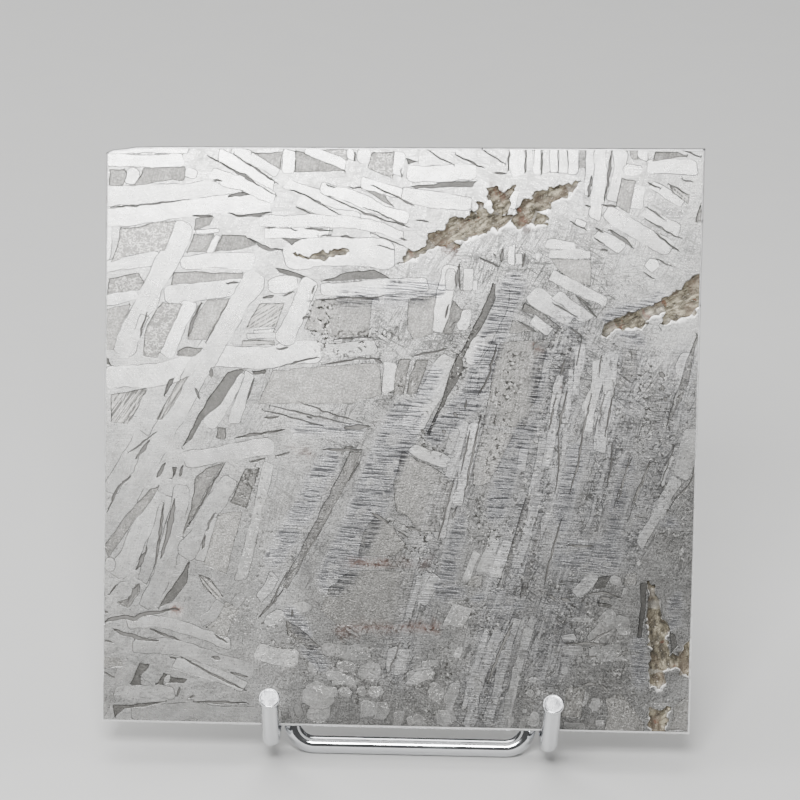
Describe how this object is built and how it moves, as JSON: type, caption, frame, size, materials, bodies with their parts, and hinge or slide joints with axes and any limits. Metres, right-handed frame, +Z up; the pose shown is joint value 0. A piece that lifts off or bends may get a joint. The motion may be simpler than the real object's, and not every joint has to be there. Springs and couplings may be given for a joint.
{
  "type": "etched iron meteorite slice on a wire stand",
  "caption": "Thin square-cut slice of iron meteorite, etched to show its crossing metal bands, leaning back in the hooks of a small chromed wire stand.",
  "frame": {"origin": "on the floor, under the middle of the whole object", "axes": "+Z up; the slice's etched front looks towards -Y and leans back; +X is to the right as that front is looked at"},
  "size_m": [0.081, 0.0538, 0.0788],
  "materials": {
    "etched_iron": "nickel-iron, ground flat and acid etched, satin, with grey fields between brighter bands",
    "chromed_rod": "bright chrome plate on bent steel rod, with plain sheared ends"
  },
  "bodies": {
    "root": {"slice": "etched_iron", "stand_frame": "chromed_rod", "hook_left": "chromed_rod", "hook_right": "chromed_rod"}
  },
  "joints": []
}
